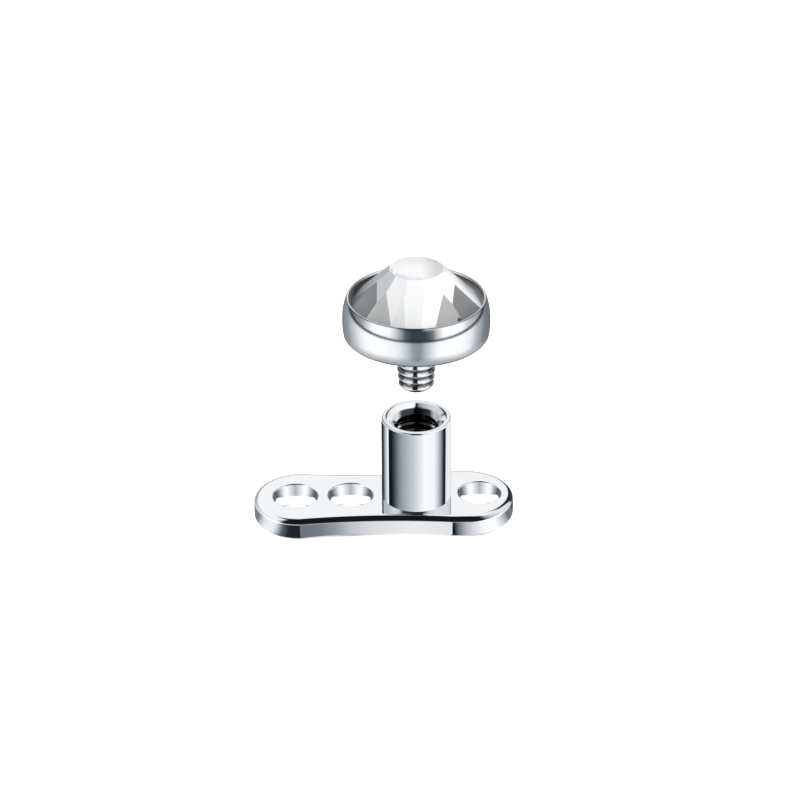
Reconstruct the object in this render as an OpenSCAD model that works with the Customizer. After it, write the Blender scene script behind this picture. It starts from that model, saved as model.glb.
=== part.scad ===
// Dermal anchor: a flat foot plate with an upright threaded post, and a threaded disc top
// that holds a faceted crystal. The top is drawn lifted off the post, as it is before fitting.
// The origin is on the post's axis, level with the underside of the foot. The end of the foot
// with one hole points along +X, and the jewel is up, along +Z. All sizes are in millimetres.

/* [Foot plate] */
// Length of the foot from end to end
foot_length = 7.3; // [7.1:0.1:9]
// Width of the foot across its round ends
foot_width = 2.6; // [2.5:0.1:3]
// Thickness of the foot
foot_thickness = 0.7; // [0.5:0.05:0.9]
// Distance from the post's axis to the end of the foot with one hole
single_end_reach = 2.73; // [2.7:0.01:2.8]
// How far each long side is waisted between the round ends
waist_depth = 0.12; // [0.06:0.01:0.16]
// Radius of the foot's rounded edges
foot_edge = 0.12; // [0.08:0.01:0.15]

/* [Foot holes] */
// Distance from the post's axis to the outer hole of the pair
outer_hole_reach = 3.4; // [3.35:0.05:3.5]
// Distance from the post's axis to the inner hole of the pair
inner_hole_reach = 1.85; // [1.8:0.05:1.9]
// Distance from the post's axis to the single hole
single_hole_reach = 1.78; // [1.75:0.01:1.85]
// Diameter of the two holes of the pair
pair_hole_d = 1.26; // [1:0.02:1.3]
// Diameter of the single hole
single_hole_d = 1.2; // [1:0.02:1.24]
// Width of the bevel round each hole
hole_bevel = 0.03; // [0.01:0.01:0.05]

/* [Post] */
// Outer diameter of the post
post_d = 1.94; // [1.8:0.02:2]
// Height of the post above the foot
post_rise = 2.5; // [2.2:0.1:3.5]
// Radius of the post's rounded top edge
post_edge = 0.06; // [0.03:0.01:0.08]
// Diameter of the wide dish at the mouth of the socket
dish_d = 1.66; // [1.6:0.02:1.7]
// Diameter at the bottom of the dish, where the lead-in starts
lead_in_d = 1.34; // [1.3:0.02:1.4]
// Depth of the dish
dish_depth = 0.08; // [0.05:0.01:0.12]
// Depth of the socket below the post's rim
socket_depth = 1.85; // [1.75:0.05:2]

/* [Thread] */
// Diameter over the crests of the stud's thread
thread_d = 1.05; // [0.96:0.01:1.06]
// Distance between neighbouring crests
thread_pitch = 0.215; // [0.2:0.005:0.25]
// Depth of the thread from crest to root
thread_depth = 0.105; // [0.08:0.005:0.12]
// Radial play between the stud's thread and the socket's
thread_play = 0.02; // [0.015:0.005:0.03]
// How much each of the two crests nearest the stud's tip is smaller than the next
thread_lead = 0.02; // [0.01:0.005:0.03]
// Length of the stud below the cup
stud_length = 1.62; // [1.4:0.01:1.65]
// Length of plain neck between the thread and the cup
stud_neck = 0.3; // [0.2:0.05:0.5]

/* [Cup] */
// Outer diameter of the cup
cup_d = 4; // [3.9:0.05:4.2]
// Height of the cup
cup_height = 1.11; // [1.05:0.01:1.2]
// Height of the shoulder that draws in towards the rim
shoulder_height = 0.62; // [0.5:0.02:0.7]
// How far the shoulder draws in at the rim
shoulder_inset = 0.12; // [0.08:0.01:0.14]
// Radius of the cup's rounded bottom edge
cup_edge = 0.12; // [0.06:0.01:0.16]
// Width of the rim
rim_width = 0.08; // [0.06:0.01:0.1]
// Thickness of the cup's floor
cup_floor = 0.18; // [0.15:0.01:0.2]
// Height that the top is lifted above its seat on the post
lift = 2.6; // [0.5:0.1:4]

/* [Crystal] */
// Height of the crystal's table above the cup's rim
table_rise = 0.85; // [0.8:0.01:0.9]
// Width of the table across its flats
table_width = 1.42; // [1.3:0.02:1.5]
// Number of main facets round the crown
crown_facets = 12; // [8:2:16]
// Slope of the main facets
main_slope = 49; // [48:0.5:50]
// Slope of the girdle facets
girdle_slope = 56; // [54:0.5:58]
// Radius at which the girdle facets start on the crown
girdle_start_r = 1.07; // [1:0.01:1.15]
// How much flatter the girdle facets at the front are cut
front_easing = 6; // [0:1:6]
// How far the girdle facets turn towards the front
facet_lean = 7; // [0:1:8]
// Turn of the whole crown about its axis
crown_turn = -5; // [-15:1:15]
// Gap between the crystal and the cup
crystal_gap = 0.04; // [0.03:0.01:0.06]
// Height of the crystal's girdle band below its lowest facet
girdle_band = 0.06; // [0.04:0.01:0.08]
// Diameter of the flat on the crystal's underside
culet_d = 2.5; // [2:0.1:3]

/* [Hidden] */
$fn = 96;
lobe_r = foot_width / 2;
single_lobe_x = single_end_reach - lobe_r;
pair_lobe_x = single_end_reach - foot_length + lobe_r;
// Share of the foot between its round ends that the waist takes, from the pair's end on
waist_share = 0.9;
waist_half = waist_share * (single_lobe_x - pair_lobe_x) / 2;
waist_x = pair_lobe_x + waist_half;
waist_r = (waist_half * waist_half + waist_depth * waist_depth) / (2 * waist_depth);
// Number of sides that keeps the waist's wide disc smooth
waist_sides = 360;
post_r = post_d / 2;
post_top = foot_thickness + post_rise;
crest_r = thread_d / 2;
root_r = crest_r - thread_depth;
// Flat on each crest and in each root
thread_flat = thread_pitch / 8;
bore_r = crest_r + thread_play;
// Height of the drilled hole's pointed end, as a share of its radius
drill_point = 0.6;
// Number of crests at the stud's tip that are smaller
lead_turns = 2;
cup_bottom = post_top + lift;
cup_r = cup_d / 2;
rim_z = cup_bottom + cup_height;
rim_r = cup_r - shoulder_inset;
bowl_r = rim_r - rim_width;
bowl_floor = cup_bottom + cup_floor;
// The stud runs half-way up into the cup's floor
stud_top = cup_bottom + cup_floor / 2;
shoulder_z = rim_z - shoulder_height;
shoulder_r = (shoulder_height * shoulder_height + shoulder_inset * shoulder_inset) / (2 * shoulder_inset);
table_z = rim_z + table_rise;
table_reach = table_width / 2;
facet_step = 360 / crown_facets;
// How closely the easing of the girdle facets keeps to the front
easing_power = 4;
// Height of the ridges between main facets, where the girdle facets start
ridge_z = table_z - tan(main_slope) * (girdle_start_r * cos(facet_step / 2) - table_reach);
girdle_r = bowl_r - crystal_gap;
girdle_z = ridge_z - tan(girdle_slope) * (girdle_r - girdle_start_r) - girdle_band;
crystal_bottom = bowl_floor + crystal_gap;
// How far cutting shapes run past what they cut
past = 0.5;
// Size of the block that cuts a facet, larger than the crystal
facet_block = 3 * girdle_r;

// Half-section of a round plate from its axis to radius r, with both outer corners rounded
module round_edged_section(r, thickness, edge) {
  square([r - edge, thickness]);
  translate([0, edge]) square([r, thickness - 2 * edge]);
  for (z = [edge, thickness - edge]) translate([r - edge, z]) circle(edge);
}

// One round end of the foot
module foot_lobe(x) {
  translate([x, 0, 0]) rotate_extrude() intersection() {
    round_edged_section(lobe_r, foot_thickness, foot_edge);
    square([lobe_r, foot_thickness]);
  }
}

// The straight stretch of the foot between its round ends
module foot_bar() {
  translate([pair_lobe_x, 0, 0]) rotate([90, 0, 90]) linear_extrude(single_lobe_x - pair_lobe_x)
    for (side = [0, 1]) mirror([side, 0]) round_edged_section(lobe_r, foot_thickness, foot_edge);
}

// What the waist takes off one long side: a wide disc whose edge is hollowed to the foot's own
module waist_cut() {
  translate([waist_x, lobe_r + waist_r - waist_depth, 0]) rotate_extrude($fn = waist_sides) difference() {
    translate([0, -past]) square([waist_r + foot_edge, foot_thickness + 2 * past]);
    translate([waist_r, foot_edge]) square([past, foot_thickness - 2 * foot_edge]);
    for (z = [foot_edge, foot_thickness - foot_edge])
      translate([waist_r + foot_edge, z]) circle(foot_edge);
  }
}

// A through hole in the foot, bevelled at both ends
module foot_hole(x, d) {
  translate([x, 0, foot_thickness / 2]) {
    cylinder(d = d, h = foot_thickness + 2 * past, center = true);
    for (end = [0, 1]) mirror([0, 0, end]) translate([0, 0, foot_thickness / 2 - hole_bevel])
      cylinder(r1 = d / 2, r2 = d / 2 + 2 * hole_bevel, h = 2 * hole_bevel);
  }
}

// Heights and radii up the side of a thread that starts at z: one ridge for each turn,
// where each of the first crests is smaller by the lead than the next
function thread_side(root, crest, z, turns, lead) = [
  for (i = [0:turns - 1]) let (low = z + i * thread_pitch, r = crest - lead * max(0, lead_turns - i)) each [
    [root, low + thread_flat / 2],
    [r, low + thread_pitch / 2 - thread_flat / 2],
    [r, low + thread_pitch / 2 + thread_flat / 2],
    [root, low + thread_pitch - thread_flat / 2]
  ]
];

// Half-section of the threaded hole in the post: drilled tip, thread, lead-in and dish
module socket_section() {
  lead_in_r = lead_in_d / 2;
  dish_bottom = post_top - dish_depth;
  lead_in_z = dish_bottom - (lead_in_r - bore_r);
  thread_z = post_top - socket_depth;
  turns = floor((lead_in_z - thread_z) / thread_pitch);
  polygon(concat(
    [[0, thread_z - drill_point * bore_r], [bore_r, thread_z]],
    thread_side(bore_r, bore_r + thread_depth, thread_z, turns, 0),
    [[bore_r, lead_in_z], [lead_in_r, dish_bottom], [dish_d / 2, post_top],
     [dish_d / 2, post_top + past], [0, post_top + past]]
  ));
}

// Foot plate and post, turned and milled from one piece
module anchor_base() {
  color("silver") difference() {
    union() {
      difference() {
        union() {
          foot_lobe(pair_lobe_x);
          foot_lobe(single_lobe_x);
          foot_bar();
        }
        for (side = [0, 1]) mirror([0, side, 0]) waist_cut();
      }
      rotate_extrude() {
        square([post_r, post_top - post_edge]);
        square([post_r - post_edge, post_top]);
        intersection() {
          translate([post_r - post_edge, post_top - post_edge]) circle(post_edge);
          square([post_r, post_top]);
        }
      }
    }
    rotate_extrude() socket_section();
    foot_hole(-outer_hole_reach, pair_hole_d);
    foot_hole(-inner_hole_reach, pair_hole_d);
    foot_hole(single_hole_reach, single_hole_d);
  }
}

// Half-section of the cup: rounded bottom edge, straight wall, curved shoulder and open bowl
module cup_section() {
  difference() {
    union() {
      translate([0, cup_bottom]) square([cup_r - cup_edge, shoulder_z - cup_bottom]);
      translate([0, cup_bottom + cup_edge]) square([cup_r, shoulder_z - cup_bottom - cup_edge]);
      translate([cup_r - cup_edge, cup_bottom + cup_edge]) circle(cup_edge);
      intersection() {
        translate([cup_r - shoulder_r, shoulder_z]) circle(shoulder_r);
        translate([0, shoulder_z]) square([cup_r, shoulder_height]);
      }
    }
    translate([0, bowl_floor]) square([bowl_r, cup_height]);
  }
}

// Half-section of the threaded stud under the cup
module stud_section() {
  tip_z = cup_bottom - stud_length;
  turns = floor((stud_length - stud_neck) / thread_pitch);
  polygon(concat(
    [[0, tip_z], [root_r - thread_lead, tip_z]],
    thread_side(root_r, crest_r, tip_z, turns, thread_lead),
    [[root_r, stud_top], [0, stud_top]]
  ));
}

// Cup and stud, turned from one bar
module threaded_top() {
  color("lightsteelblue") rotate_extrude() {
    cup_section();
    stud_section();
  }
}

// Takes off everything above a plane that leans by slope, at a radius and height on the crown
module facet_cut(azimuth, slope, reach, height, lean = 0) {
  rotate([0, 0, azimuth]) translate([reach, 0, height]) rotate([0, 0, lean]) rotate([0, slope, 0])
    translate([-facet_block / 2, -facet_block / 2, 0]) cube(facet_block);
}

// Crystal: a table, main facets from it to the girdle, and a girdle facet on each ridge.
// The girdle facets at the front are cut a little flatter, and the others turn towards them.
module crystal() {
  color("white") difference() {
    union() {
      translate([0, 0, girdle_z]) cylinder(r = girdle_r, h = table_z - girdle_z);
      translate([0, 0, crystal_bottom])
        cylinder(r1 = culet_d / 2, r2 = girdle_r, h = girdle_z - crystal_bottom);
    }
    for (i = [0:crown_facets - 1]) {
      facet_cut(crown_turn + i * facet_step, main_slope, table_reach, table_z);
      ridge = (i + 0.5) * facet_step;
      facet_cut(crown_turn + ridge, girdle_slope - front_easing * pow(max(0, -sin(ridge)), easing_power),
        girdle_start_r, ridge_z, -facet_lean * cos(ridge));
    }
  }
}

anchor_base();
threaded_top();
crystal();
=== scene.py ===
"""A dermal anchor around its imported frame: polished foot and post, turned cup and stud, cut crystal."""

import math
from collections import namedtuple

import bmesh
import bpy
from bpy.props import FloatProperty, FloatVectorProperty, PointerProperty
from mathutils import Matrix, Vector


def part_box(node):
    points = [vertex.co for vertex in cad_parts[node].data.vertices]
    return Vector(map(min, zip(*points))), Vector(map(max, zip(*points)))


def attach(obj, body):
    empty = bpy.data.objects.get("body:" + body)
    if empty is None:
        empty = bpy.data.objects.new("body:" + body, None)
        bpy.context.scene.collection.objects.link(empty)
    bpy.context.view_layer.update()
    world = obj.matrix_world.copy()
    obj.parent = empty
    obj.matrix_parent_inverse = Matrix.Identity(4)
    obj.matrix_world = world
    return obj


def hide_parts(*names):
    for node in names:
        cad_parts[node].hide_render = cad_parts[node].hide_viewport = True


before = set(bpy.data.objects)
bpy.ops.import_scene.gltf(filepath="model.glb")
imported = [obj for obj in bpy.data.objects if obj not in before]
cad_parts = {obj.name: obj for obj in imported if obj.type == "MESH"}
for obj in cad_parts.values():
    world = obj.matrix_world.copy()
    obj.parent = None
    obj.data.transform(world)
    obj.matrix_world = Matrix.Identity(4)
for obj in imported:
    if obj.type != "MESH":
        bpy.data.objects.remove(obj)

bl_info = {
    "name": "Dermal anchor",
    "version": (1, 0, 0),
    "blender": (4, 5, 0),
    "location": "View3D > Sidebar > Jewellery",
    "description": "Builds a threaded dermal anchor and its faceted top around a packed frame",
    "category": "Add Mesh",
}

# One millimetre in the frame's metres. Meshes are drawn in millimetres and scaled when they are done
MM = 0.001
TO_METRES = Matrix.Scale(MM, 4)
BASE_LOW, BASE_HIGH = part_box("anchor_base")
TOP_LOW, TOP_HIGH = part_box("threaded_top")
STONE_LOW, STONE_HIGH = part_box("crystal")
UP = Vector((0, 0, 1))
# Axis square to a half-section, which is drawn on the plane through X and Z
ACROSS = Vector((0, 1, 0))
# Points nearer to each other than this are one point, in millimetres
TOUCHING = 1e-4
# A face whose normal points up or down by more than this is level
LEVEL = 0.9999
# An edge that rises by more than this share of its length is upright
UPRIGHT = 0.9
# Edges that turn more than this are sharp, in degrees, and the foot plate's upright ones sooner
SHARP_TURN = 30
SHARP_UPRIGHT = 4
# Steps of a full turn round a hole, round the post and the stone, and round the cup
HOLE_STEPS = 128
WALL_STEPS = 192
CUP_STEPS = 256
# Steps of the arc round an end of the foot, and of the arc of its waist
LOBE_STEPS = 120
WAIST_STEPS = 32
# Steps of a wide rounding and of a narrow one
WIDE_STEPS = 24
NARROW_STEPS = 8
# Width of the flat strip that is left round the foot's flats before they are filled, in millimetres
FILL_MARGIN = 0.015
# Height that the bump of the hairlines and of the tool's rings stands for, in millimetres
HAIRLINE_HEIGHT = 0.00006
RING_HEIGHT = 0.00035


def length(name, default, description):
    """A size property in metres."""
    return FloatProperty(
        name=name, description=description, default=default, min=0, unit="LENGTH", precision=5
    )


def angle(name, degrees, description):
    """An angle property, with its default in degrees."""
    return FloatProperty(
        name=name, description=description, default=math.radians(degrees), subtype="ANGLE"
    )


def tint(name, default, description):
    """A colour property."""
    return FloatVectorProperty(name=name, description=description, default=default, subtype="COLOR")


class FootSizes(bpy.types.PropertyGroup):
    pair_end: length("Pair end", -BASE_LOW.x, "From the post's axis to the end with two holes")
    single_end: length("Single end", BASE_HIGH.x, "From the post's axis to the end with one hole")
    width: length("Width", BASE_HIGH.y - BASE_LOW.y, "Across the round ends")
    thickness: length("Thickness", 0.7 * MM, "Thickness of the plate")
    edge: length("Edge", 0.18 * MM, "Radius of the plate's rounded edges")
    waist_depth: length("Waist depth", 0.12 * MM, "How far each long side is waisted")
    waist_share: FloatProperty(
        name="Waist share",
        description="Share of the straight stretch that the waist takes, from the pair's end",
        default=0.9,
        min=0.5,
        max=1,
        subtype="FACTOR",
    )
    outer_hole: length("Outer hole", 3.4 * MM, "From the axis to the outer hole of the pair")
    inner_hole: length("Inner hole", 1.85 * MM, "From the axis to the inner hole of the pair")
    single_hole: length("Single hole", 1.78 * MM, "From the axis to the single hole")
    pair_hole_radius: length("Pair hole radius", 0.63 * MM, "Radius of the two holes of the pair")
    single_hole_radius: length("Single hole radius", 0.6 * MM, "Radius of the single hole")
    hole_edge: length("Hole edge", 0.035 * MM, "Rounding of the edges of each hole")


class PostSizes(bpy.types.PropertyGroup):
    radius: length("Radius", 0.97 * MM, "Outer radius of the post")
    top: length("Top", BASE_HIGH.z, "Height of the post's rim")
    edge: length("Edge", 0.045 * MM, "Rounding of the rim's edges and of the dish's")
    dish_radius: length("Dish radius", 0.83 * MM, "Radius of the dish at the socket's mouth")
    lead_in_radius: length("Lead-in radius", 0.67 * MM, "Radius at the bottom of the dish")
    dish_depth: length("Dish depth", 0.108 * MM, "Depth of the dish")
    socket_depth: length("Socket depth", 1.85 * MM, "From the rim to the end of the thread")
    drill_point: length("Drill point", 0.33 * MM, "Depth of the drilled point under the thread")


class ThreadSizes(bpy.types.PropertyGroup):
    crest_radius: length("Crest radius", 0.525 * MM, "Radius over the stud's crests")
    depth: length("Depth", 0.105 * MM, "From crest to root")
    pitch: length("Pitch", 0.215 * MM, "From one crest to the next")
    play: length("Play", 0.02 * MM, "Radial play between the stud and the socket")
    lead: length("Lead", 0.02 * MM, "How much smaller each of the crests at the tip is")
    softening: length("Softening", 0.008 * MM, "Rounding of the crests and roots")
    neck: length("Neck", 0.3 * MM, "Plain neck between the thread and the cup")


class CupSizes(bpy.types.PropertyGroup):
    radius: length("Radius", TOP_HIGH.x, "Outer radius of the cup")
    bottom: length("Bottom", 5.8 * MM, "Height of the cup's underside")
    rim: length("Rim", TOP_HIGH.z, "Height of the cup's rim")
    edge: length("Edge", 0.08 * MM, "Rounding of the bottom edge")
    belly: length("Belly", 0.36 * MM, "Height over which the wall draws in towards the bottom")
    belly_turn: angle("Belly turn", 10, "How far the wall has turned in where the bottom edge starts")
    shoulder_height: length("Shoulder height", 0.62 * MM, "Height of the shoulder under the rim")
    shoulder_inset: length("Shoulder inset", 0.12 * MM, "How far the shoulder draws in")
    rim_width: length("Rim width", 0.062 * MM, "Width of the rim")
    rim_softening: length("Rim softening", 0.028 * MM, "Rounding of the rim's outer edge")
    lip: length("Lip", 0.034 * MM, "Rounding of the rim's inner edge")
    floor: length("Floor", 0.18 * MM, "Thickness of the cup's floor")
    neck_fillet: length("Neck fillet", 0.03 * MM, "Rounding where the stud meets the cup")


class CrystalSizes(bpy.types.PropertyGroup):
    table: length("Table", STONE_HIGH.z, "Height of the table")
    table_reach: length("Table reach", 0.71 * MM, "From the axis to the table's edges")
    girdle_radius: length("Girdle radius", STONE_HIGH.x, "Radius of the girdle")
    bottom: length("Bottom", STONE_LOW.z, "Height of the flat underside")
    culet_radius: length("Culet radius", 1.25 * MM, "Radius of the flat underside")
    girdle_start: length("Girdle start", 1.07 * MM, "Radius where the girdle facets start")
    back_girdle_start: length("Back girdle start", 1.5 * MM, "The same radius at the back")
    girdle_band: length("Girdle band", 0.06 * MM, "Height of the band under the facets")
    edge: length("Edge", 0.012 * MM, "Width of the flat on each edge between facets")
    main_slope: angle("Main slope", 49, "Slope of the main facets")
    girdle_slope: angle("Girdle slope", 56, "Slope of the girdle facets")
    front_easing: angle("Front easing", 6, "How much flatter the girdle facets at the front are")
    back_easing: angle("Back easing", 4, "How much flatter the main facets at the back are")
    side_easing: angle("Side easing", 3.4, "How much flatter the girdle facets near the sides are")
    side_lean: angle("Side lean", 5, "How much further the girdle facets near the sides turn")
    facet_lean: angle("Facet lean", 7, "How far the girdle facets turn towards the front")
    crown_turn: angle("Crown turn", -5, "Turn of the whole crown")


class FinishSettings(bpy.types.PropertyGroup):
    metal: tint("Metal", (0.76, 0.78, 0.8), "Colour of the polished metal")
    # Painted shade: down the socket, in the stud's thread roots and along the rim's outer edge
    shade_colour: tint("Deep metal", (0.035, 0.037, 0.04), "Colour deep in the threads and on the rim")
    # The crystal's two colours are the ends of its facets' painted light and shade, and on the bowl's
    # wall they paint shade and a pale painted reflection
    crystal: tint("Crystal", (1, 1, 1), "Colour of bright facets and of pale glue")
    crystal_shadow: tint("Crystal shadow", (0.02, 0.021, 0.024), "Colour of dark facets and glue")


class StudioSettings(bpy.types.PropertyGroup):
    aim: FloatVectorProperty(
        name="Aim", description="Point that the camera looks at",
        default=(-0.449 * MM, 0, 3.729 * MM), unit="LENGTH",
    )
    distance: length("Distance", 64.84 * MM, "From the camera to the point it looks at")
    azimuth: angle("Azimuth", -1.39, "Turn of the camera round the object")
    elevation: angle("Elevation", 29.43, "Camera's angle above level")
    roll: angle("Roll", -0.27, "Camera's tilt about its own line of sight")
    focal_length: FloatProperty(
        name="Focal length", description="Focal length in millimetres", default=106.1,
        subtype="DISTANCE_CAMERA",
    )
    tent_radius: length("Tent radius", 30 * MM, "Radius of the innermost light tent")
    tent_height: length("Tent height", 3.7 * MM, "Height of the tents' middle")
    floor_size: length("Floor size", 1.0, "Half the side of the floor")


class Pen:
    """Draws a chain of edges in millimetres, one line or arc after another, square to an axis."""

    def __init__(self, mesh, start, axis):
        self.mesh = mesh
        self.axis = axis
        self.tip = mesh.verts.new(start)
        self.corners = []

    def line(self, to, rounding=0):
        """Draws a straight line. The corner at its end is rounded by that much later."""
        self.tip = bmesh.ops.extrude_vert_indiv(self.mesh, verts=[self.tip])["verts"][0]
        self.tip.co = to
        if rounding:
            self.corners.append((self.tip, rounding))

    def arc(self, centre, turn, steps):
        """Draws an arc round a centre, anticlockwise about the axis if the turn is positive."""
        turned = bmesh.ops.spin(
            self.mesh, geom=[self.tip], cent=centre, axis=self.axis, dvec=(0, 0, 0), angle=turn,
            steps=steps, use_merge=False, use_normal_flip=False, use_duplicate=False,
        )
        self.tip = next(part for part in turned["geom_last"] if isinstance(part, bmesh.types.BMVert))

    def round_corners(self, steps):
        """Rounds the corners that were drawn with a rounding."""
        for corner, rounding in self.corners:
            bmesh.ops.bevel(
                self.mesh, geom=[corner], offset=rounding, segments=steps, profile=0.5,
                affect="VERTICES", material=-1, clamp_overlap=False,
            )


class Section(Pen):
    """Draws a half-section by radius and height, which is then turned about an upright axis."""

    def __init__(self, mesh, radius, height, centre=0):
        self.centre = centre
        super().__init__(mesh, (centre + radius, 0, height), ACROSS)

    def to(self, radius, height, rounding=0):
        self.line((self.centre + radius, 0, height), rounding)

    def curve(self, radius, height, turn, steps):
        self.arc((self.centre + radius, 0, height), turn, steps)

    def revolve(self, steps, corner_steps=4):
        """Rounds the corners and turns the section into a solid of revolution."""
        self.round_corners(corner_steps)
        bmesh.ops.spin(
            self.mesh, geom=self.mesh.verts[:] + self.mesh.edges[:], cent=(self.centre, 0, 0), axis=UP,
            dvec=(0, 0, 0), angle=math.tau, steps=steps, use_merge=True, use_normal_flip=False,
            use_duplicate=False,
        )
        bmesh.ops.remove_doubles(self.mesh, verts=self.mesh.verts[:], dist=TOUCHING)


def join(target, part):
    """Adds one mesh to another and frees it."""
    carrier = bpy.data.meshes.new("carrier")
    part.to_mesh(carrier)
    part.free()
    target.from_mesh(carrier)
    bpy.data.meshes.remove(carrier)


def level_normals(piece):
    """Gives long walls their own direction next to small roundings, so they mirror without a bend."""
    level = piece.modifiers.new("level_normals", "WEIGHTED_NORMAL")
    level.keep_sharp = True
    level.thresh = 0
    with bpy.context.temp_override(object=piece, active_object=piece):
        bpy.ops.object.modifier_apply(modifier=level.name)


def show(name, mesh, material):
    """Puts a mesh into the scene as an object, which is still in millimetres."""
    data = bpy.data.meshes.new(name)
    mesh.to_mesh(data)
    mesh.free()
    data.materials.append(material)
    shown = bpy.data.objects.new(name, data)
    bpy.context.scene.collection.objects.link(shown)
    return shown


def finish_piece(mesh, name, body, nodes, material, sharp_upright=SHARP_TURN):
    """Turns a mesh drawn in millimetres into a shown piece that rides on a body."""
    bmesh.ops.remove_doubles(mesh, verts=mesh.verts[:], dist=TOUCHING)
    bmesh.ops.recalc_face_normals(mesh, faces=mesh.faces[:])
    open_edges = sum(not edge.is_manifold for edge in mesh.edges)
    if open_edges:
        raise RuntimeError(f"{name} isn't closed: {open_edges} open edges")
    for face in mesh.faces:
        face.smooth = True
    for edge in mesh.edges:
        run = edge.verts[1].co - edge.verts[0].co
        upright = abs(run.z) > UPRIGHT * run.length
        limit = sharp_upright if upright else SHARP_TURN
        edge.smooth = math.degrees(edge.calc_face_angle(0)) < limit
    piece = show(name, mesh, material)
    level_normals(piece)
    piece.data.transform(TO_METRES)
    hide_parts(*nodes)
    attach(piece, body)
    return piece


def foot_plate(foot):
    """The plate's rounded side all round, open at the flat top and underside, in millimetres."""
    lobe = foot.width / MM / 2
    pair_x = lobe - foot.pair_end / MM
    single_x = foot.single_end / MM - lobe
    half = foot.waist_share * (single_x - pair_x) / 2
    depth = foot.waist_depth / MM
    waist_radius = (half * half + depth * depth) / (2 * depth)
    waist_turn = 2 * math.asin(half / waist_radius)
    waist_y = lobe + waist_radius - depth
    mesh = bmesh.new()
    pen = Pen(mesh, (pair_x, -lobe, 0), UP)
    pen.arc((pair_x + half, -waist_y, 0), -waist_turn, WAIST_STEPS)
    pen.line((single_x, -lobe, 0))
    pen.arc((single_x, 0, 0), math.pi, LOBE_STEPS)
    pen.line((pair_x + 2 * half, lobe, 0))
    pen.arc((pair_x + half, waist_y, 0), -waist_turn, WAIST_STEPS)
    pen.arc((pair_x, 0, 0), math.pi, LOBE_STEPS)
    bmesh.ops.remove_doubles(mesh, verts=mesh.verts[:], dist=TOUCHING)
    plate = bmesh.ops.contextual_create(mesh, geom=mesh.edges[:])["faces"]
    raised = bmesh.ops.extrude_face_region(mesh, geom=plate)["geom"]
    lifted = [part for part in raised if isinstance(part, bmesh.types.BMVert)]
    bmesh.ops.translate(mesh, vec=(0, 0, foot.thickness / MM), verts=lifted)
    level = [edge for edge in mesh.edges if abs(edge.verts[0].co.z - edge.verts[1].co.z) < TOUCHING]
    bmesh.ops.bevel(
        mesh, geom=level, offset=foot.edge / MM, offset_type="OFFSET", segments=WIDE_STEPS,
        profile=0.5, affect="EDGES", material=-1, clamp_overlap=False,
    )
    mesh.normal_update()
    flats = [face for face in mesh.faces if abs(face.normal.z) > LEVEL and len(face.verts) > 4]
    bmesh.ops.inset_region(mesh, faces=flats, thickness=FILL_MARGIN, use_even_offset=True)
    bmesh.ops.delete(mesh, geom=flats, context="FACES_ONLY")
    return mesh


def foot_hole(centre, radius, foot):
    """The wall of a hole through the plate, with rounded edges, in millimetres."""
    edge = foot.hole_edge / MM
    thickness = foot.thickness / MM
    mesh = bmesh.new()
    wall = Section(mesh, radius + edge, 0, centre)
    wall.curve(radius + edge, edge, math.pi / 2, NARROW_STEPS)
    wall.to(radius, thickness - edge)
    wall.curve(radius + edge, thickness - edge, math.pi / 2, NARROW_STEPS)
    wall.revolve(HOLE_STEPS)
    return mesh


def thread_side(section, root, crest, low, turns, thread, upwards=1, lead_turns=0):
    """Draws one level ridge for each turn of a thread, with softened crests and roots."""
    pitch = thread.pitch / MM
    flat = pitch / 8
    soft = thread.softening / MM
    order = range(turns) if upwards > 0 else reversed(range(turns))
    for turn in order:
        start = low + turn * pitch
        top = crest - thread.lead / MM * max(0, lead_turns - turn)
        ridge = [
            (root, start + flat / 2),
            (top, start + pitch / 2 - flat / 2),
            (top, start + pitch / 2 + flat / 2),
            (root, start + pitch - flat / 2),
        ]
        for radius, height in ridge[::upwards]:
            section.to(radius, height, soft)


def post_and_socket(foot, post, thread):
    """The post's wall, rim, dish, thread and drilled point, standing on the plate."""
    top = post.top / MM
    radius = post.radius / MM
    bore = (thread.crest_radius + thread.play) / MM
    pitch = thread.pitch / MM
    dish_bottom = top - post.dish_depth / MM
    lead_in = post.lead_in_radius / MM
    lead_in_z = dish_bottom - (lead_in - bore)
    thread_z = top - post.socket_depth / MM
    turns = int((lead_in_z - thread_z) / pitch)
    edge = post.edge / MM
    mesh = bmesh.new()
    section = Section(mesh, 0, foot.thickness / MM)
    section.to(radius, foot.thickness / MM)
    section.to(radius, top, edge)
    section.to(post.dish_radius / MM, top, edge)
    section.to(lead_in, dish_bottom, edge)
    section.to(bore, lead_in_z, edge / 3)
    thread_side(section, bore, bore + thread.depth / MM, thread_z, turns, thread, upwards=-1)
    section.to(bore, thread_z)
    section.to(0, thread_z - post.drill_point / MM)
    section.revolve(WALL_STEPS)
    return mesh


def close_flat(mesh, height):
    """Fills the flat face at a height, round the openings whose edges lie there."""
    rims = [
        edge for edge in mesh.edges
        if edge.is_boundary and all(abs(end.co.z - height) < TOUCHING for end in edge.verts)
    ]
    bmesh.ops.triangle_fill(mesh, use_beauty=True, use_dissolve=False, edges=rims, normal=UP)


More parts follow.
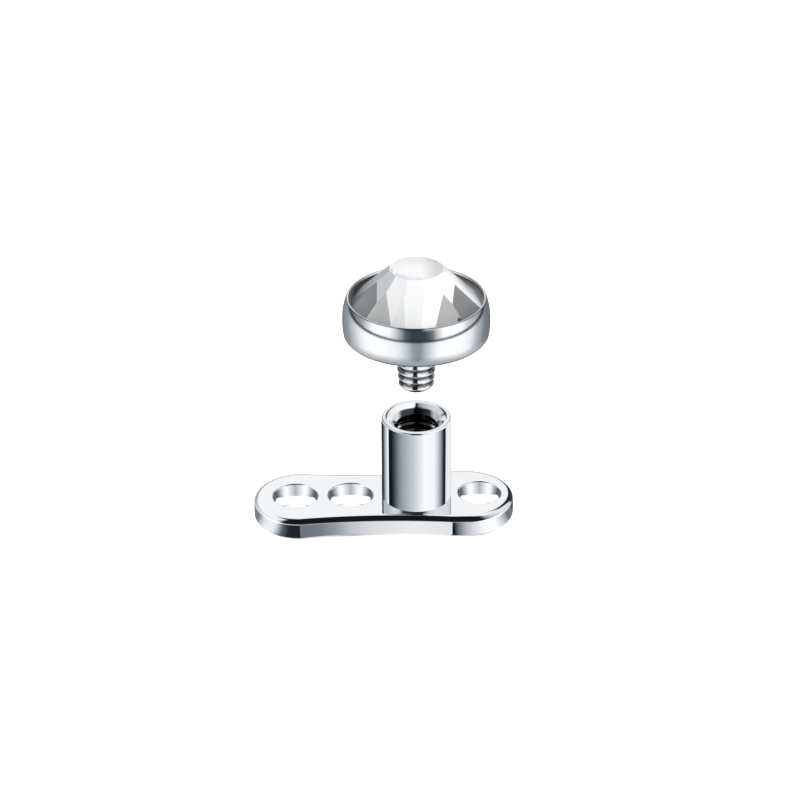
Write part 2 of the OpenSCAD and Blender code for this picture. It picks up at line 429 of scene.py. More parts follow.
def cup_and_stud(cup, thread):
    """The stud, cup wall, shoulder, rim and bowl as one turned shell, in millimetres."""
    tip = TOP_LOW.z / MM
    bottom = cup.bottom / MM
    radius = cup.radius / MM
    rim = cup.rim / MM
    inset = cup.shoulder_inset / MM
    drop = cup.shoulder_height / MM
    shoulder = (drop * drop + inset * inset) / (2 * inset)
    root = (thread.crest_radius - thread.depth) / MM
    turns = int((bottom - tip - thread.neck / MM) / (thread.pitch / MM))
    bowl = radius - inset - cup.rim_width / MM
    bowl_floor = bottom + cup.floor / MM
    soft = cup.rim_softening / MM
    mesh = bmesh.new()
    section = Section(mesh, 0, tip)
    section.to(root - thread.lead / MM, tip, thread.softening / MM)
    thread_side(section, root, thread.crest_radius / MM, tip, turns, thread, lead_turns=2)
    section.to(root, bottom, cup.neck_fillet / MM)
    edge = cup.edge / MM
    belly_radius = edge + (cup.belly / MM - edge) / math.sin(cup.belly_turn)
    edge_centre = radius - belly_radius + (belly_radius - edge) * math.cos(cup.belly_turn)
    section.to(edge_centre, bottom)
    section.curve(edge_centre, bottom + edge, cup.belly_turn - math.pi / 2, NARROW_STEPS)
    section.curve(radius - belly_radius, bottom + cup.belly / MM, -cup.belly_turn, WIDE_STEPS)
    section.to(radius, rim - drop)
    section.curve(radius - shoulder, rim - drop, -math.asin(drop / shoulder), WIDE_STEPS)
    section.to(radius - inset - soft / 2, rim, soft / 2)
    section.to(bowl, rim, cup.lip / MM)
    section.to(bowl, bowl_floor, soft)
    section.to(0, bowl_floor)
    section.revolve(CUP_STEPS, NARROW_STEPS)
    return mesh


def cut_facet(mesh, azimuth, slope, reach, height, tone, lean=0):
    """Cuts a facet that slopes down from a reach and height, and fills the cut with one face.

    The lean turns the facet about an upright line through that point.
    """
    place = Matrix.Rotation(azimuth, 4, "Z") @ Matrix.Translation((reach, 0, height))
    turned = place @ Matrix.Rotation(lean, 4, "Z")
    normal = (turned.to_3x3() @ Vector((math.sin(slope), 0, math.cos(slope)))).normalized()
    cut = bmesh.ops.bisect_plane(
        mesh, geom=mesh.verts[:] + mesh.edges[:] + mesh.faces[:], dist=TOUCHING / 10,
        plane_co=place.translation, plane_no=normal, clear_outer=True,
    )
    rim = [part for part in cut["geom_cut"] if isinstance(part, bmesh.types.BMEdge)]
    layers = mesh.faces.layers.float
    for face in bmesh.ops.contextual_create(mesh, geom=rim)["faces"]:
        face[layers["facet_shade"]] = tone
        face[layers["facet"]] = 1


# The crown's facets, counted from the right by way of the back: the tone of a main facet, the tone of
# the girdle facet that follows it, and the share of the back easing that the main facet takes. Both tones
# are painted light and shade
CrownPlace = namedtuple("CrownPlace", "main_tone girdle_tone back_share")
CROWN = (
    CrownPlace(0.98, 0.93, 0.5),
    CrownPlace(0.92, 0.85, 1),
    CrownPlace(0.85, 0.75, 1),
    CrownPlace(0.8, 0.7, 1),
    CrownPlace(0.75, 0.65, 1),
    CrownPlace(0.7, 0.6, 1),
    CrownPlace(0.72, 0.5, 1),
    CrownPlace(0.78, 0.69, 0),
    CrownPlace(0.92, 0.88, 0),
    CrownPlace(0.98, 1.0, 0),
    CrownPlace(1.0, 0.67, 0),
    CrownPlace(1.0, 0.53, 0),
)
# Tone of the narrow flats on the edges between facets, a painted dark reflection
EDGE_TONE = 0.72
# A girdle facet at the front is near a side if the cosine of its direction is over this
NEAR_SIDE = 0.9


def flatten_edges(mesh, width, girdle_z):
    """Makes the table one face, and puts a narrow flat on each edge between two facets, greyed with a
    painted dark reflection.
    """
    shade = mesh.faces.layers.float["facet_shade"]
    facet = mesh.faces.layers.float["facet"]
    crown = [
        face for face in mesh.faces
        if face.normal.z > LEVEL and face.calc_center_median().z > girdle_z
    ]
    for face in bmesh.ops.dissolve_faces(mesh, faces=crown)["region"]:
        face[facet] = 1
    creases = [edge for edge in mesh.edges if all(face[facet] for face in edge.link_faces)]
    edge_flats = bmesh.ops.bevel(
        mesh, geom=creases, offset=width, offset_type="OFFSET", segments=1, profile=0.5,
        affect="EDGES", material=-1, clamp_overlap=True,
    )["faces"]
    for face in edge_flats:
        face[shade] = EDGE_TONE


def cut_crystal(sizes):
    """The crystal: a table, main facets, a girdle facet on each ridge and a plain cone below."""
    table = sizes.table / MM
    reach = sizes.table_reach / MM
    girdle = sizes.girdle_radius / MM
    start = sizes.girdle_start / MM
    bottom = sizes.bottom / MM
    step = math.tau / len(CROWN)

    def ridge_height(from_axis, slope):
        """Height of the ridge between two main facets of a slope."""
        return table - math.tan(slope) * (from_axis * math.cos(step / 2) - reach)

    crown_drop = math.tan(sizes.girdle_slope) * (girdle - start)
    girdle_z = ridge_height(start, sizes.main_slope) - crown_drop - sizes.girdle_band / MM
    mesh = bmesh.new()
    blank = Section(mesh, 0, bottom)
    blank.to(sizes.culet_radius / MM, bottom)
    blank.to(girdle, girdle_z)
    blank.to(girdle, table)
    blank.to(0, table)
    blank.revolve(WALL_STEPS)
    bmesh.ops.recalc_face_normals(mesh, faces=mesh.faces[:])
    mesh.faces.layers.float.new("facet_shade")
    mesh.faces.layers.float.new("facet")
    shade = mesh.faces.layers.float["facet_shade"]
    for face in mesh.faces:
        face[shade] = 1
    for i, place in enumerate(CROWN):
        slope = sizes.main_slope - sizes.back_easing * place.back_share
        cut_facet(mesh, sizes.crown_turn + i * step, slope, reach, table, place.main_tone)
    for i, place in enumerate(CROWN):
        ridge = (i + 0.5) * step
        at_front = math.sin(ridge) < 0
        from_axis = start
        main_slope = sizes.main_slope
        slope = sizes.girdle_slope - sizes.front_easing * max(0, -math.sin(ridge)) ** 4
        lean = sizes.facet_lean
        if not at_front:
            from_axis = sizes.back_girdle_start / MM
            main_slope -= sizes.back_easing
        elif abs(math.cos(ridge)) > NEAR_SIDE:
            slope -= sizes.side_easing
            lean += sizes.side_lean
        cut_facet(
            mesh, sizes.crown_turn + ridge, slope, from_axis, ridge_height(from_axis, main_slope),
            place.girdle_tone, -lean * math.cos(ridge),
        )
    flatten_edges(mesh, sizes.edge / MM, girdle_z)
    return mesh


class Value:
    """An output socket that takes arithmetic, each step of which adds a Math node."""

    def __init__(self, socket):
        self.socket = socket

    def math(self, operation, *others):
        tree = self.socket.id_data
        return add_node(tree, "ShaderNodeMath", {"operation": operation}, (self, *others))

    def __add__(self, other):
        return self.math("ADD", other)

    __radd__ = __add__

    def __mul__(self, other):
        return self.math("MULTIPLY", other)

    __rmul__ = __mul__

    def __sub__(self, other):
        return self.math("SUBTRACT", other)

    def __rsub__(self, other):
        return -self + other

    def __truediv__(self, other):
        return self.math("DIVIDE", other)

    def __neg__(self):
        return self * -1

    def __abs__(self):
        return self.math("ABSOLUTE")


def add_node(tree, kind, settings, sockets, output=0):
    """Adds a node, sets its settings, fills its sockets with values or links, and returns an output."""
    node = tree.nodes.new(kind)
    for name, setting in settings.items():
        if name == "stops":
            lay_stops(node.color_ramp, setting)
        else:
            setattr(node, name, setting)
    named = sockets.items() if isinstance(sockets, dict) else enumerate(sockets)
    for key, value in named:
        if isinstance(value, Value):
            tree.links.new(value.socket, node.inputs[key])
        else:
            node.inputs[key].default_value = value
    return Value(node.outputs[output])


def lay_stops(ramp, stops):
    """Sets a ramp's stops, each a position from 0 to 1 and a grey."""
    while len(ramp.elements) > 1:
        ramp.elements.remove(ramp.elements[-1])
    for i, (position, grey) in enumerate(stops):
        stop = ramp.elements[0] if i == 0 else ramp.elements.new(position)
        stop.position = position
        stop.color = (grey, grey, grey, 1)


def greys_along(tree, place, stops):
    """The grey at a place, by stops that each give a place and its grey."""
    low = stops[0][0]
    span = stops[-1][0] - low
    shares = [((stop - low) / span, grey) for stop, grey in stops]
    return add_node(tree, "ShaderNodeValToRGB", {"stops": shares}, ((place - low) / span,))


def rise(value, low, high):
    """0 at low and 1 at high, with a smooth step between them."""
    return add_node(
        value.socket.id_data, "ShaderNodeMapRange", {"interpolation_type": "SMOOTHSTEP", "clamp": True},
        {"Value": value, "From Min": low, "From Max": high},
    )


def blend_colour(tree, mask, low, high):
    """One colour where the mask is 0 and the other where it is 1."""
    return add_node(tree, "ShaderNodeMix", {"data_type": "RGBA"}, {0: mask, 6: low, 7: high}, output=2)


def place_in_mm(tree):
    """Object coordinates in millimetres, as a vector and its three parts."""
    place = add_node(tree, "ShaderNodeTexCoord", {}, (), output=3)
    scaled = add_node(tree, "ShaderNodeVectorMath", {"operation": "SCALE"}, {0: place, "Scale": 1 / MM})
    parts = add_node(tree, "ShaderNodeSeparateXYZ", {}, (scaled,)).socket.node.outputs
    return scaled, *(Value(part) for part in parts)


def vector(tree, x, y, z):
    """Three values as one vector."""
    return add_node(tree, "ShaderNodeCombineXYZ", {}, (x, y, z))


def distance(x, y):
    """Distance from the origin."""
    return (x * x + y * y).math("SQRT")


def turn_to(aside, ahead):
    """Angle in degrees between straight ahead and a direction."""
    return aside.math("ARCTAN2", ahead) * math.degrees(1)


def noise(tree, place, scale, detail=2):
    """Smooth noise round 0.5 at so many grains to the millimetre."""
    return add_node(tree, "ShaderNodeTexNoise", {}, {"Vector": place, "Scale": scale, "Detail": detail})


def start_material(name):
    """An empty material, its node tree and its output."""
    material = bpy.data.materials.new(name)
    material.use_nodes = True
    tree = material.node_tree
    tree.nodes.clear()
    return material, tree, tree.nodes.new("ShaderNodeOutputMaterial")


def make_surface(tree, output, **sockets):
    """Adds the Principled shader with its values or links. An underscore stands for a space."""
    named = {name.replace("_", " "): value for name, value in sockets.items()}
    shader = add_node(tree, "ShaderNodeBsdfPrincipled", {}, named)
    tree.links.new(shader.socket, output.inputs[0])


def bump(tree, height, distance_mm):
    """A normal from a height of 0 to 1 that stands for that many millimetres."""
    return add_node(
        tree, "ShaderNodeBump", {}, {"Strength": 1.0, "Distance": distance_mm * MM, "Height": height}
    )


def rgba(colour):
    """A colour with full alpha."""
    return (*colour, 1)


def cloudy_metal(tree, finish, place, grain):
    """The metal's colour, 5% darker in soft clouds at so many grains to the millimetre."""
    darker = rgba([0.95 * part for part in finish.metal])
    return blend_colour(tree, noise(tree, place, grain), darker, rgba(finish.metal))


def polished_metal(finish, post):
    """Mirror-polished foot and post with hairlines, and painted shade, a little rougher, on the thread
    down the socket.
    """
    material, tree, output = start_material("polished_titanium")
    place, x, y, z = place_in_mm(tree)
    radius = distance(x, y)
    rim = post.top / MM
    mouth = post.lead_in_radius / MM
    # Painted shade darkens the socket below its dish
    in_socket = rise(radius, mouth + 0.02, mouth - 0.01) * rise(z, rim - 0.06, rim - 0.13)
    # The painted shade is left off the thread's left and right, so that its crests mirror the light there
    in_socket = in_socket * (1 - 0.8 * rise(abs(x), 0.38, 0.52))
    hairlines = noise(tree, vector(tree, x * 0.6, y * 9, z * 9), 6, 4)
    rings = noise(tree, vector(tree, radius * 0.3, 0, z), 60, 3)
    polish = cloudy_metal(tree, finish, place, 0.7)
    make_surface(
        tree, output, Metallic=1.0,
        Base_Color=blend_colour(tree, in_socket, polish, rgba(finish.shade_colour)),
        Roughness=0.03 + 0.03 * hairlines + 0.08 * in_socket,
        Normal=bump(tree, hairlines * 0.5 + rings * 0.5, HAIRLINE_HEIGHT),
    )
    return material


def turned_metal(finish, cup, thread):
    """Finely turned cup and stud with the tool's rings, painted shade in the thread roots and along the
    rim's outer edge, and painted shade and reflection on the bowl's wall.
    """
    material, tree, output = start_material("turned_titanium")
    place, x, y, z = place_in_mm(tree)
    radius = distance(x, y)
    bottom = cup.bottom / MM
    rim = cup.rim / MM
    rim_edge = (cup.radius - cup.shoulder_inset) / MM
    bowl = (cup.radius - cup.shoulder_inset - cup.rim_width) / MM
    root = (thread.crest_radius - thread.depth) / MM
    rings = noise(tree, vector(tree, radius, 0, z), 45, 4)
    on_stud = rise(z, bottom, bottom - 0.02)
    # Painted shade darkens the stud's thread roots
    in_root = on_stud * rise(radius, root + 0.06, root + 0.01)
    # Painted shade draws a dark line along the rim's outer edge
    at_rim = rise(z, rim - 0.026, rim - 0.015)
    on_rim_edge = rise(radius, rim_edge - 0.024, rim_edge - 0.014) * at_rim
    deep = rgba(finish.shade_colour)
    polish = cloudy_metal(tree, finish, place, 0.8)
    polish = blend_colour(tree, 0.85 * in_root, polish, deep)
    polish = blend_colour(tree, 0.75 * on_rim_edge, polish, deep)
    # The bowl's wall is made rough and not metal, so that it shows only its painted shade and reflection
    on_bowl = rise(radius, bowl + 0.012, bowl + 0.004)
    painted_bowl = on_bowl * rise(z, rim - 0.03, rim - 0.06) * rise(z, bottom + 0.1, bottom + 0.15)
    # The bowl's wall gets painted shade, nearly black, but for a pale painted reflection low down on the
    # right and a trace of one at the far left
    pale = 0.02 + 0.8 * rise(x, 0.5, 1.1) * rise(z, rim - 0.03, rim - 0.34) + 0.25 * rise(x, -1.62, -1.8)
    bowl_shading = blend_colour(tree, pale, rgba(finish.crystal_shadow), rgba(finish.crystal))
    make_surface(
        tree, output, Metallic=1 - painted_bowl, Base_Color=blend_colour(tree, painted_bowl, polish, bowl_shading),
        Roughness=0.09 + 0.05 * rings - 0.03 * on_stud + 0.4 * painted_bowl,
        Normal=bump(tree, rings, RING_HEIGHT),
    )
    return material


def crystal_finish(finish, sizes):
    """Clear crystal on a silvered back, with painted light and shade: each facet has a painted tone and a
    faint glow of it under a hard, clear gloss.
    """
    material, tree, output = start_material("cut_crystal")
    place, x, y, z = place_in_mm(tree)
    shade = add_node(tree, "ShaderNodeAttribute", {"attribute_name": "facet_shade"}, (), output=2)
    bottom = sizes.bottom / MM
    table = sizes.table / MM
    # Painted shade darkens the left behind and the right behind, and a painted highlight brightens the
    # left in front
    far_left = rise(x, -0.9, -1.75)
    behind = rise(y, -0.15, 0.2)
    right_back = rise(x, 0.8, 1.35) * rise(y, -0.22, 0.4)
    light = shade * (1 - 0.4 * far_left * behind) * (1 + 0.25 * far_left * (1 - behind))
    # Painted shade also darkens it towards its underside
    light = light * (1 - 0.42 * right_back) * (1 - 0.5 * rise(z, bottom + 0.2, bottom + 0.1))
    # Painted shade greys the table a little, most of all on the right
    on_table = rise(z, table - 0.012, table - 0.004)
    grey = 0.06 + 0.16 * rise(x, 0.05, 0.65) + 0.05 * rise(y, 0.05, 0.6) + 0.02 * rise(x, -0.2, -0.7)
    light = light * (1 - on_table * grey)
    # A dark wedge at the front right opens from a radius of 1.49 mm to the girdle
    from_wedge = abs(y.math("ARCTAN2", x) + 0.775)
    in_wedge = rise((distance(x, y) - 1.49) * 0.8 - from_wedge, 0, 0.02)
    light = light * (1 - 0.96 * in_wedge)
    veil = noise(tree, place, 1.6, 3)
    polish_lines = noise(tree, vector(tree, x * 0.5, y * 0.5, z * 8), 9, 3)
    tone = (light * (0.97 + 0.04 * veil + 0.02 * polish_lines)).math("POWER", 2.2)
    colour = blend_colour(tree, tone, rgba(finish.crystal_shadow), rgba(finish.crystal))
    # The facets glow faintly in their painted tones, which is painted light
    make_surface(
        tree, output, Base_Color=colour, Roughness=0.01 + 0.03 * polish_lines, IOR=1.56,
        Coat_Weight=0.3, Coat_Roughness=0.01, Emission_Color=colour, Emission_Strength=0.3,
    )
    return material


# A belt of a light tent: the elevation where it starts, how softly it meets the belt below, and its
# brightness round the azimuth, which is 0 at the camera and 90 on its right. All are in degrees
Belt = namedtuple("Belt", "low soft lights")
TOP_TENT = (
    Belt(-90, 1, ((-180, 0.15), (180, 0.15))),
    Belt(-46, 6, (
        (-180, 0.03), (-164, 0.05), (-155, 0.25), (-90, 0.4), (90, 0.4), (155, 0.25), (164, 0.05),
        (180, 0.03),
    )),
    Belt(-34, 5, (
        (-180, 0.03), (-164, 0.05), (-155, 0.2), (-110, 0.5), (-70, 0.78), (-30, 0.68), (0, 0.2),
        (30, 0.7), (70, 0.8), (110, 0.45), (155, 0.2), (164, 0.05), (180, 0.03),
    )),
    Belt(-28, 1.5, (
        (-180, 0.04), (-168, 0.1), (-155, 0.2), (-129, 0.3), (-107, 0.58), (-99, 0.74), (-87, 0.92),
        (-67, 1.0), (-50, 1.0), (-35, 0.9), (-25, 0.78), (-15, 0.55), (-6, 0.32), (4, 0.29), (13, 0.52),
        (23, 0.78), (32, 0.97), (45, 1.0), (60, 1.0), (75, 0.95), (87, 0.82), (100, 0.48), (124, 0.2),
        (155, 0.15), (168, 0.1), (180, 0.04),
    )),
    Belt(-5, 0.5, ((-180, 0.3), (-120, 0.02), (120, 0.02), (180, 0.3))),
    Belt(-1, 0.5, (
        (-180, 0.3), (-135, 0.12), (-116, 0.15), (-101, 0.25), (-89, 0.38), (-77, 0.75), (-68, 0.98),
        (-42, 0.95), (-26, 0.4), (-18, 0.1), (-8, 0.05), (12, 0.05), (22, 0.15), (32, 0.7), (40, 1.0),
        (68, 1.0), (82, 0.6), (100, 0.4), (116, 0.3), (135, 0.3), (180, 0.3),
    )),
    Belt(18, 2, (
        (-180, 0.85), (-160, 0.7), (-150, 0.1), (-108, 0.1), (-96, 0.6), (-60, 0.8), (-36, 0.8),
        (-28, 0.02), (6, 0.02), (14, 0.9), (60, 1.0), (96, 0.7), (108, 0.1), (150, 0.1), (160, 0.7),
        (180, 0.85),
    )),
    Belt(62, 4, (
        (-180, 0.3), (-120, 0.5), (-60, 0.85), (-50, 0.8), (-40, 0.02), (8, 0.02), (18, 0.95), (120, 0.9),
        (180, 0.3),
    )),
)
POST_TENT = (
    Belt(-90, 1, ((-180, 0.03), (180, 0.03))),
    Belt(-50, 4, (
        (-180, 0.02), (-140, 0.04), (-132, 0.25), (-118, 0.6), (-107, 1.0), (-104, 0.01), (-97, 0.01),
        (-90, 0.01), (-78, 0.065), (-66, 0.18), (-55, 0.3), (-34, 0.44), (-14, 0.57), (6, 0.76),
        (25, 0.95), (57, 0.9), (68, 0.71), (80, 0.44), (92, 0.15), (97, 0.02), (109, 0.02), (112, 0.8),
        (148, 0.8), (160, 0.5), (180, 0.5),
    )),
    Belt(-26, 1, (
        (-180, 0.7), (-100, 0.8), (-22, 0.85), (-14, 0.02), (12, 0.02), (20, 0.85), (180, 0.8),
    )),
    Belt(6, 2, (
        (-180, 0.8), (-156, 0.75), (-135, 0.5), (-100, 0.3), (-22, 0.1), (14, 0.02), (24, 0.9),
        (180, 0.8),
    )),
    Belt(19, 3, (
        (-180, 0.8), (-172, 0.8), (-166, 0.03), (-148, 0.03), (-140, 0.6), (-110, 0.6), (-80, 0.9),
        (-62, 0.8), (-46, 0.05), (14, 0.02), (26, 0.2), (40, 0.75), (60, 0.95), (130, 0.85), (150, 0.7),
        (156, 0.1), (166, 0.05), (172, 0.8), (180, 0.8),
    )),
    Belt(46, 5, (
        (-180, 0.8), (-156, 0.8), (-125, 0.72), (-100, 0.58), (-60, 0.34), (-30, 0.1), (-14, 0.02),
        (14, 0.02), (24, 0.9), (60, 1.0), (140, 0.85), (180, 0.8),
    )),
)
PLATE_TENT = (
    Belt(-40, 1.5, (
        (-180, 0.2), (-120, 0.4), (-60, 0.6), (-14, 0.7), (0, 0.4), (13, 0.2), (30, 0.5), (80, 0.8),
        (120, 0.3), (180, 0.2),
    )),
    Belt(-17, 2, (
        (-180, 0.3), (-140, 0.4), (-92, 0.8), (-58, 0.85), (-44, 0.01), (36, 0.01), (55, 0.5), (85, 0.75),
        (120, 0.7), (126, 0.03), (156, 0.03), (162, 0.3), (180, 0.3),
    )),
    Belt(14, 4, (
        (-180, 0.88), (-92, 0.9), (-58, 0.9), (-44, 0.01), (36, 0.01), (55, 0.5), (85, 0.8), (120, 0.75),
        (126, 0.03), (156, 0.03), (162, 0.88), (180, 0.88),
    )),
    Belt(50, 6, (
        (-180, 0.88), (-130, 0.88), (-100, 0.85), (-84, 0.05), (-76, 0.01), (56, 0.01), (66, 0.85),
        (180, 0.88),
    )),
)
# Elevation under which the plate's tent is cut off, because the plate mirrors a card there instead
TENT_CUT = -28

# Brightness of the card round the foot plate, by the distance in millimetres along the plate's front
# from the post, where each round end takes a millimetre for every radian
ROUND_FOOT = (
    (-6.4, 0.1), (-5.6, 0.2), (-4.75, 0.2), (-4.45, 0.75), (-4.2, 0.87), (-4.05, 0.82), (-3.8, 0.12),
    (-3.6, 0.02), (-3.24, 0.02), (-3.2, 0.17), (-2.6, 0.2), (-2.1, 0.37), (-1.8, 0.55), (-1.3, 0.7),
    (-0.2, 0.82), (0.93, 0.76), (0.95, 0.01), (1.05, 0.01), (1.35, 0.43), (1.5, 0.62), (1.9, 0.95),
    (2.25, 0.97), (2.5, 0.6), (2.8, 0.16), (3.0, 0.2), (3.2, 0.05), (3.5, 0.03), (4.6, 0.03),
)
# The wall of a hole gathers its reflections about a short line on the card, behind the hole's middle.
# Start, end and half the width of what is white there, and how softly it ends, in millimetres
GATHERING = 0.29
GATHERING_END = 0.46
GATHERED = 0.225
GATHERED_SOFT = 0.02
# Brightness of the card further out, by the angle in degrees from the front about the line's start
UNDER_HOLES = (
    (0, 0.45), (24, 0.72), (48, 1.0), (72, 0.88), (96, 0.5), (120, 0.25), (144, 0.1), (180, 0.15),
)
# Half the length and width of the card, and how far it lies under the plate, in millimetres
CARD_HALF = (6.5, 2.75)
CARD_DROP = 0.05
# Strength of the tents and the card, and the powers for their red, green and blue, which make
# middle greys a little blue
LIGHT_STRENGTH = 1.35
COOLING = (1.08, 1.02, 0.96)
# How often the faces of a tent's ball are divided, and how far each tent lies outside the last, in
# millimetres
TENT_DIVISIONS = 6
TENT_STEP = 1


def light_object(name, mesh, material, receivers):
    """A light made of a mesh in millimetres, which lights only its receivers, unseen by the camera."""
    light = show(name, mesh, material)
    light.data.transform(TO_METRES)
    light.visible_camera = False
    light.visible_shadow = False
    lit = bpy.data.collections.new(name + "_receivers")
    for receiver in receivers:
        lit.objects.link(bpy.data.objects[receiver])
    light.light_linking.receiver_collection = lit
    return light


def shine(tree, output, light, clear):
    """Sends out a brightness. A clear light lets rays through to the light behind it."""
    cool = vector(tree, *(light.math("POWER", power) for power in COOLING))
    glow = add_node(tree, "ShaderNodeEmission", {}, {"Color": cool, "Strength": LIGHT_STRENGTH})
    if clear:
        through = add_node(tree, "ShaderNodeBsdfTransparent", {}, ())
        glow = add_node(tree, "ShaderNodeAddShader", {}, (glow, through))
    tree.links.new(glow.socket, output.inputs[0])


def tent_glow(name, belts, clear, studio):
    """The light of a tent: belts by elevation, each with its own pattern by azimuth."""
    material, tree, output = start_material(name)
    _, x, y, z = place_in_mm(tree)
    azimuth = turn_to(x, -y)
    elevation = turn_to(z - studio.tent_height / MM, distance(x, y))
    light = greys_along(tree, azimuth, belts[0].lights)
    for belt in belts[1:]:
        mask = rise(elevation, belt.low - belt.soft, belt.low + belt.soft)
        light = blend_colour(tree, mask, light, greys_along(tree, azimuth, belt.lights))
    shine(tree, output, light, clear)
    return material


def tent(name, belts, layer, receivers, studio, cut=None, clear=True):
    """A round light tent of pale belts and dark gaps that lights only its receivers.

    It may be cut off below. A clear one lets the rays of other pieces through to their own tents.
    """
    centre = studio.tent_height / MM
    radius = studio.tent_radius / MM + layer * TENT_STEP
    mesh = bmesh.new()
    bmesh.ops.create_icosphere(mesh, subdivisions=TENT_DIVISIONS, radius=radius)
    bmesh.ops.translate(mesh, vec=(0, 0, centre), verts=mesh.verts[:])
    if cut is not None:
        bmesh.ops.bisect_plane(
            mesh, geom=mesh.verts[:] + mesh.edges[:] + mesh.faces[:],
            plane_co=(0, 0, centre + radius * math.sin(math.radians(cut))), plane_no=UP,
            clear_inner=True,
        )
    return light_object(name, mesh, tent_glow(name, belts, clear, studio), receivers)


def under_holes(tree, foot, x, y):
    """The card's light under the nearest hole."""
    single = foot.single_hole / MM
    inner = -foot.inner_hole / MM
    outer = -foot.outer_hole / MM
    past_outer = x.math("GREATER_THAN", (outer + inner) / 2)
    past_post = x.math("GREATER_THAN", 0)
    nearest = outer + (inner - outer) * past_outer + (single - inner) * past_post
    aside = abs(x - nearest)
    ahead = GATHERING - y
    further = ahead.math("MAXIMUM", y - GATHERING_END).math("MAXIMUM", 0)
    mask = rise(distance(aside, further), GATHERED - GATHERED_SOFT, GATHERED + GATHERED_SOFT)
    around = greys_along(tree, turn_to(aside, ahead), UNDER_HOLES)
    return blend_colour(tree, mask, rgba((1, 1, 1)), around)


def foot_card(foot):
    """A card just under the foot plate, which the plate's sides and the walls of its holes mirror."""
    lobe = foot.width / MM / 2
    pair_x = lobe - foot.pair_end / MM
    single_x = foot.single_end / MM - lobe
    material, tree, output = start_material("foot_card")
    _, x, y, _ = place_in_mm(tree)
    along = x.math("MAXIMUM", pair_x).math("MINIMUM", single_x)
    beyond = x - along
    around = greys_along(tree, along + beyond.math("ARCTAN2", -y), ROUND_FOOT)
    # The plate's outline parts the two patterns, 0.12 mm further out at the back
    outside = distance(beyond, y).math("GREATER_THAN", lobe + 0.12 * rise(y, 0.3, 0.8))
    shine(tree, output, blend_colour(tree, outside, under_holes(tree, foot, x, y), around), True)
    mesh = bmesh.new()
    bmesh.ops.create_grid(mesh, x_segments=1, y_segments=1, size=1)
    bmesh.ops.scale(mesh, vec=(*CARD_HALF, 1), verts=mesh.verts[:])
    bmesh.ops.translate(mesh, vec=((pair_x + single_x) / 2, 0, -CARD_DROP), verts=mesh.verts[:])
    return light_object("foot_card", mesh, material, ("foot_plate",))


def white_floor(studio):
    """A plain white floor. The metal doesn't mirror it, but only the tents and the card."""
    material, tree, output = start_material("white_floor")
    make_surface(
        tree, output, Base_Color=(0.9, 0.9, 0.9, 1), Roughness=1.0, Specular_IOR_Level=0.0,
        Emission_Color=(1, 1, 1, 1), Emission_Strength=0.8,
    )
    mesh = bmesh.new()
    bmesh.ops.create_grid(mesh, x_segments=1, y_segments=1, size=studio.floor_size / MM)
    floor = show("white_floor", mesh, material)
    floor.data.transform(TO_METRES)
    floor.visible_glossy = False
    return floor


def white_surroundings(scene):
    """White behind the floor's far edge."""
    scene.world = bpy.data.worlds.new("white_surroundings")
    scene.world.use_nodes = True
    background = scene.world.node_tree.nodes["Background"]
    background.inputs["Color"].default_value = (1, 1, 1, 1)
    background.inputs["Strength"].default_value = 1.0


# Width of the film that the focal length goes with, in millimetres
FILM_WIDTH = 36


def place_camera(scene, studio):
    """The camera at the photograph's viewing angle."""
    away = Vector((
        math.sin(studio.azimuth) * math.cos(studio.elevation),
        -math.cos(studio.azimuth) * math.cos(studio.elevation),
        math.sin(studio.elevation),
    ))
    lens = bpy.data.cameras.new("camera")
    lens.lens = studio.focal_length
    lens.sensor_width = FILM_WIDTH
    lens.clip_start = studio.distance / 100
    lens.clip_end = studio.distance * 100
    camera = bpy.data.objects.new("camera", lens)
    turn = (-away).to_track_quat("-Z", "Y").to_matrix().to_4x4() @ Matrix.Rotation(studio.roll, 4, "Z")
    camera.matrix_world = Matrix.Translation(Vector(studio.aim) + studio.distance * away) @ turn
    scene.collection.objects.link(camera)
    scene.camera = camera


class JEWEL_OT_anchor_base(bpy.types.Operator):
    """Build the foot plate and the post with its threaded socket"""

    bl_idname = "jewel.anchor_base"
    bl_label = "Anchor base"
    bl_options = {"REGISTER", "UNDO"}

    def execute(self, context):
        scene = context.scene
        foot, post, thread = scene.jewel_foot, scene.jewel_post, scene.jewel_thread
        holes = (
            (-foot.outer_hole, foot.pair_hole_radius),
            (-foot.inner_hole, foot.pair_hole_radius),
            (foot.single_hole, foot.single_hole_radius),
        )
        plate = foot_plate(foot)
        for centre, radius in holes:
            join(plate, foot_hole(centre / MM, radius / MM, foot))
        close_flat(plate, foot.thickness / MM)
        close_flat(plate, 0)
        metal = polished_metal(scene.jewel_finish, post)
        shown = finish_piece(
            plate, "foot_plate", "anchor", ["anchor_base"], metal, SHARP_UPRIGHT
        )
        # The photographed post doesn't mirror the plate under it
        shown.visible_glossy = False
        finish_piece(
            post_and_socket(foot, post, thread), "post", "anchor", ["anchor_base"],
            metal,
        )
        return {"FINISHED"}


class JEWEL_OT_threaded_top(bpy.types.Operator):
    """Build the cup with its threaded stud"""

    bl_idname = "jewel.threaded_top"
    bl_label = "Threaded top"
    bl_options = {"REGISTER", "UNDO"}

    def execute(self, context):
        scene = context.scene
        shown = finish_piece(
            cup_and_stud(scene.jewel_cup, scene.jewel_thread), "turned_top", "top", ["threaded_top"],
            turned_metal(scene.jewel_finish, scene.jewel_cup, scene.jewel_thread),
        )
        # The photographed post doesn't mirror the top that hovers over it
        shown.visible_glossy = False
        return {"FINISHED"}


class JEWEL_OT_crystal(bpy.types.Operator):
    """Cut the crystal"""

    bl_idname = "jewel.crystal"
    bl_label = "Crystal"
    bl_options = {"REGISTER", "UNDO"}

    def execute(self, context):
        scene = context.scene
        piece = finish_piece(
            cut_crystal(scene.jewel_crystal), "cut_crystal", "top", ["crystal"],
            crystal_finish(scene.jewel_finish, scene.jewel_crystal),
        )
        piece.data.shade_flat()
        # The photographed cup and post don't mirror the crystal
        piece.visible_glossy = False
        return {"FINISHED"}


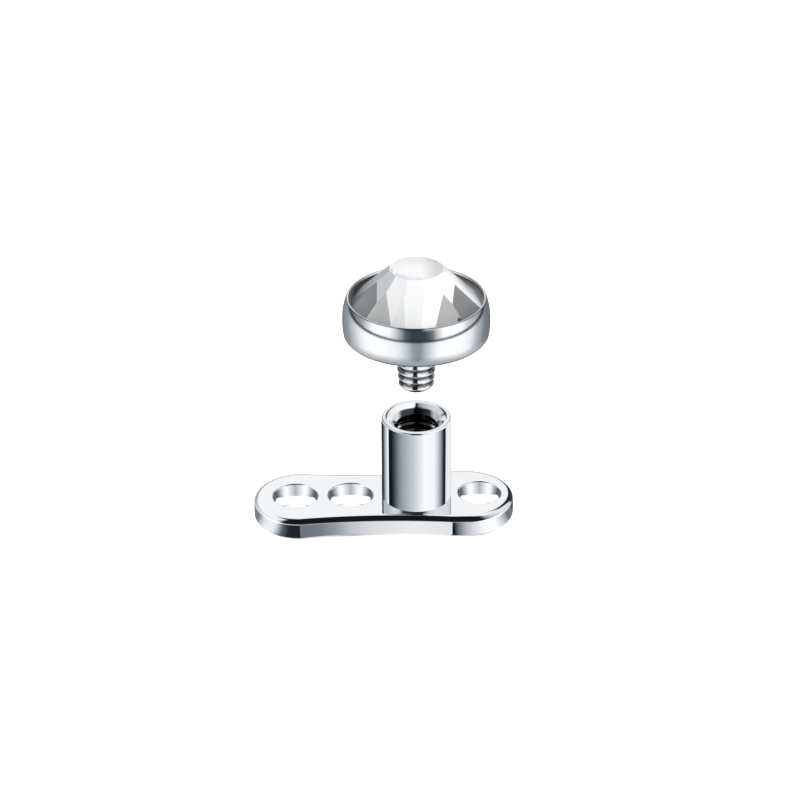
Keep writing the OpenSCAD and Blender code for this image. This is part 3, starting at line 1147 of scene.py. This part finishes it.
class JEWEL_OT_studio(bpy.types.Operator):
    """Set up the camera, the white floor, the light tents and the card under the foot"""

    bl_idname = "jewel.studio"
    bl_label = "Studio"
    bl_options = {"REGISTER", "UNDO"}

    def execute(self, context):
        scene = context.scene
        studio = scene.jewel_studio
        place_camera(scene, studio)
        white_surroundings(scene)
        staged = (
            white_floor(studio),
            tent("plate_tent", PLATE_TENT, 0, ("foot_plate", "white_floor"), studio, TENT_CUT),
            tent("post_tent", POST_TENT, 1, ("post",), studio),
            tent("top_tent", TOP_TENT, 2, ("turned_top", "cut_crystal"), studio, clear=False),
            foot_card(scene.jewel_foot),
        )
        scene.view_settings.view_transform = "Standard"
        return {"FINISHED"}


class JEWEL_PT_anchor(bpy.types.Panel):
    """Sizes, finishes and build steps of the dermal anchor"""

    bl_idname = "JEWEL_PT_anchor"
    bl_label = "Dermal anchor"
    bl_space_type = "VIEW_3D"
    bl_region_type = "UI"
    bl_category = "Jewellery"

    def draw(self, context):
        for operator in OPERATORS:
            self.layout.operator(operator.bl_idname)
        for name, group in GROUPS.items():
            box = self.layout.box()
            box.label(text=group.__name__)
            for prop in group.__annotations__:
                box.prop(getattr(context.scene, name), prop)


OPERATORS = (JEWEL_OT_anchor_base, JEWEL_OT_threaded_top, JEWEL_OT_crystal, JEWEL_OT_studio)
GROUPS = {
    "jewel_foot": FootSizes,
    "jewel_post": PostSizes,
    "jewel_thread": ThreadSizes,
    "jewel_cup": CupSizes,
    "jewel_crystal": CrystalSizes,
    "jewel_finish": FinishSettings,
    "jewel_studio": StudioSettings,
}
CLASSES = (*GROUPS.values(), *OPERATORS, JEWEL_PT_anchor)


def register():
    for kind in CLASSES:
        bpy.utils.register_class(kind)
    for name, group in GROUPS.items():
        setattr(bpy.types.Scene, name, PointerProperty(type=group))


def unregister():
    for name in GROUPS:
        delattr(bpy.types.Scene, name)
    for kind in reversed(CLASSES):
        bpy.utils.unregister_class(kind)


def main():
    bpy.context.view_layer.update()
    register()
    bpy.ops.jewel.anchor_base()
    bpy.ops.jewel.threaded_top()
    bpy.ops.jewel.crystal()
    bpy.ops.jewel.studio()


if __name__ == "__main__":
    main()
